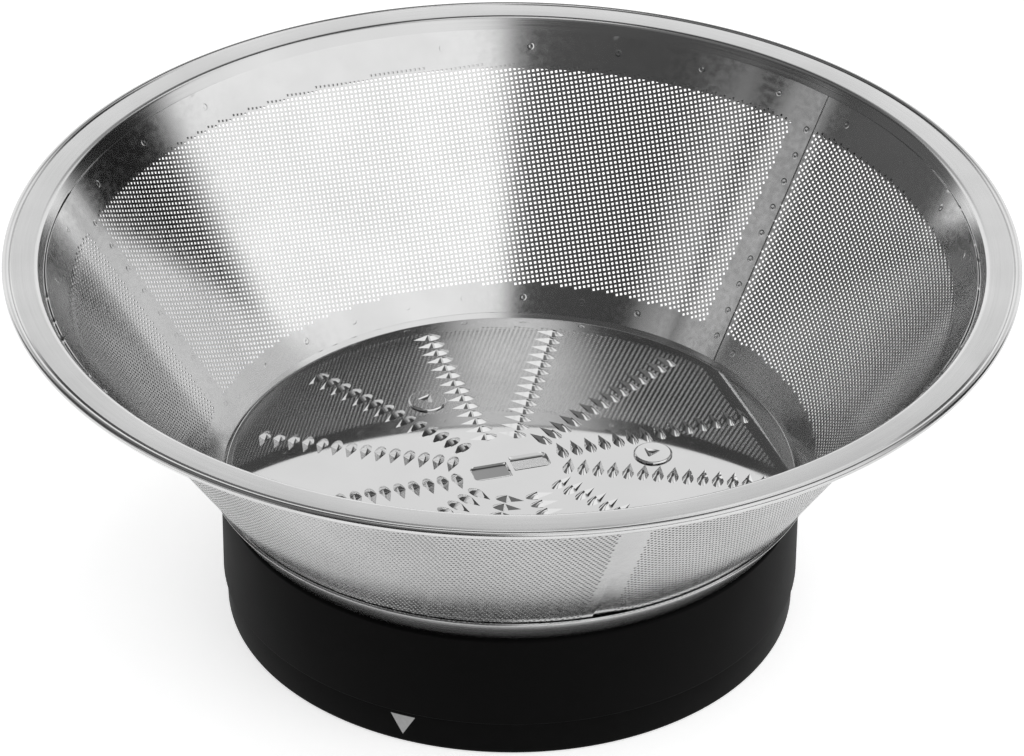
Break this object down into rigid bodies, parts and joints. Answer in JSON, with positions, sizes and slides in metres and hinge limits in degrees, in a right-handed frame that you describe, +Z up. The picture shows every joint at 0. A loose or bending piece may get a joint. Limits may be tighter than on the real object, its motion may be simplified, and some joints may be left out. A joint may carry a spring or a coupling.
{
  "type": "centrifugal juicer filter basket",
  "caption": "Conical perforated steel sieve with a rolled rim, a toothed grater disc as its floor and a black plastic drive base.",
  "frame": {"origin": "centre of the base's foot ring, on the plane that the basket stands on", "axes": "+Z up along the axis of spin, towards the open rim; +X to the viewer's right and +Y away from the viewer in the picture"},
  "size_m": [0.188, 0.188, 0.0766],
  "materials": {
    "rim_steel": "drawn and polished stainless sheet",
    "sieve_steel": "bright etched stainless sheet",
    "disc_steel": "mirror-polished stainless sheet",
    "base_plastic": "fine matte moulded",
    "mark_fill": "pale grey matte",
    "bush_metal": "die-cast, as moulded in"
  },
  "bodies": {
    "root": {"rim_ring": "rim_steel", "sieve_panel_1": "sieve_steel", "sieve_panel_2": "sieve_steel", "sieve_panel_3": "sieve_steel", "lower_band": "rim_steel", "grater_disc": "disc_steel", "disc_rivet_1": "disc_steel", "disc_rivet_2": "disc_steel", "disc_rivet_3": "disc_steel", "base_drum": "base_plastic", "base_cover": "base_plastic", "alignment_mark": "mark_fill", "drive_bush": "bush_metal"}
  },
  "joints": []
}
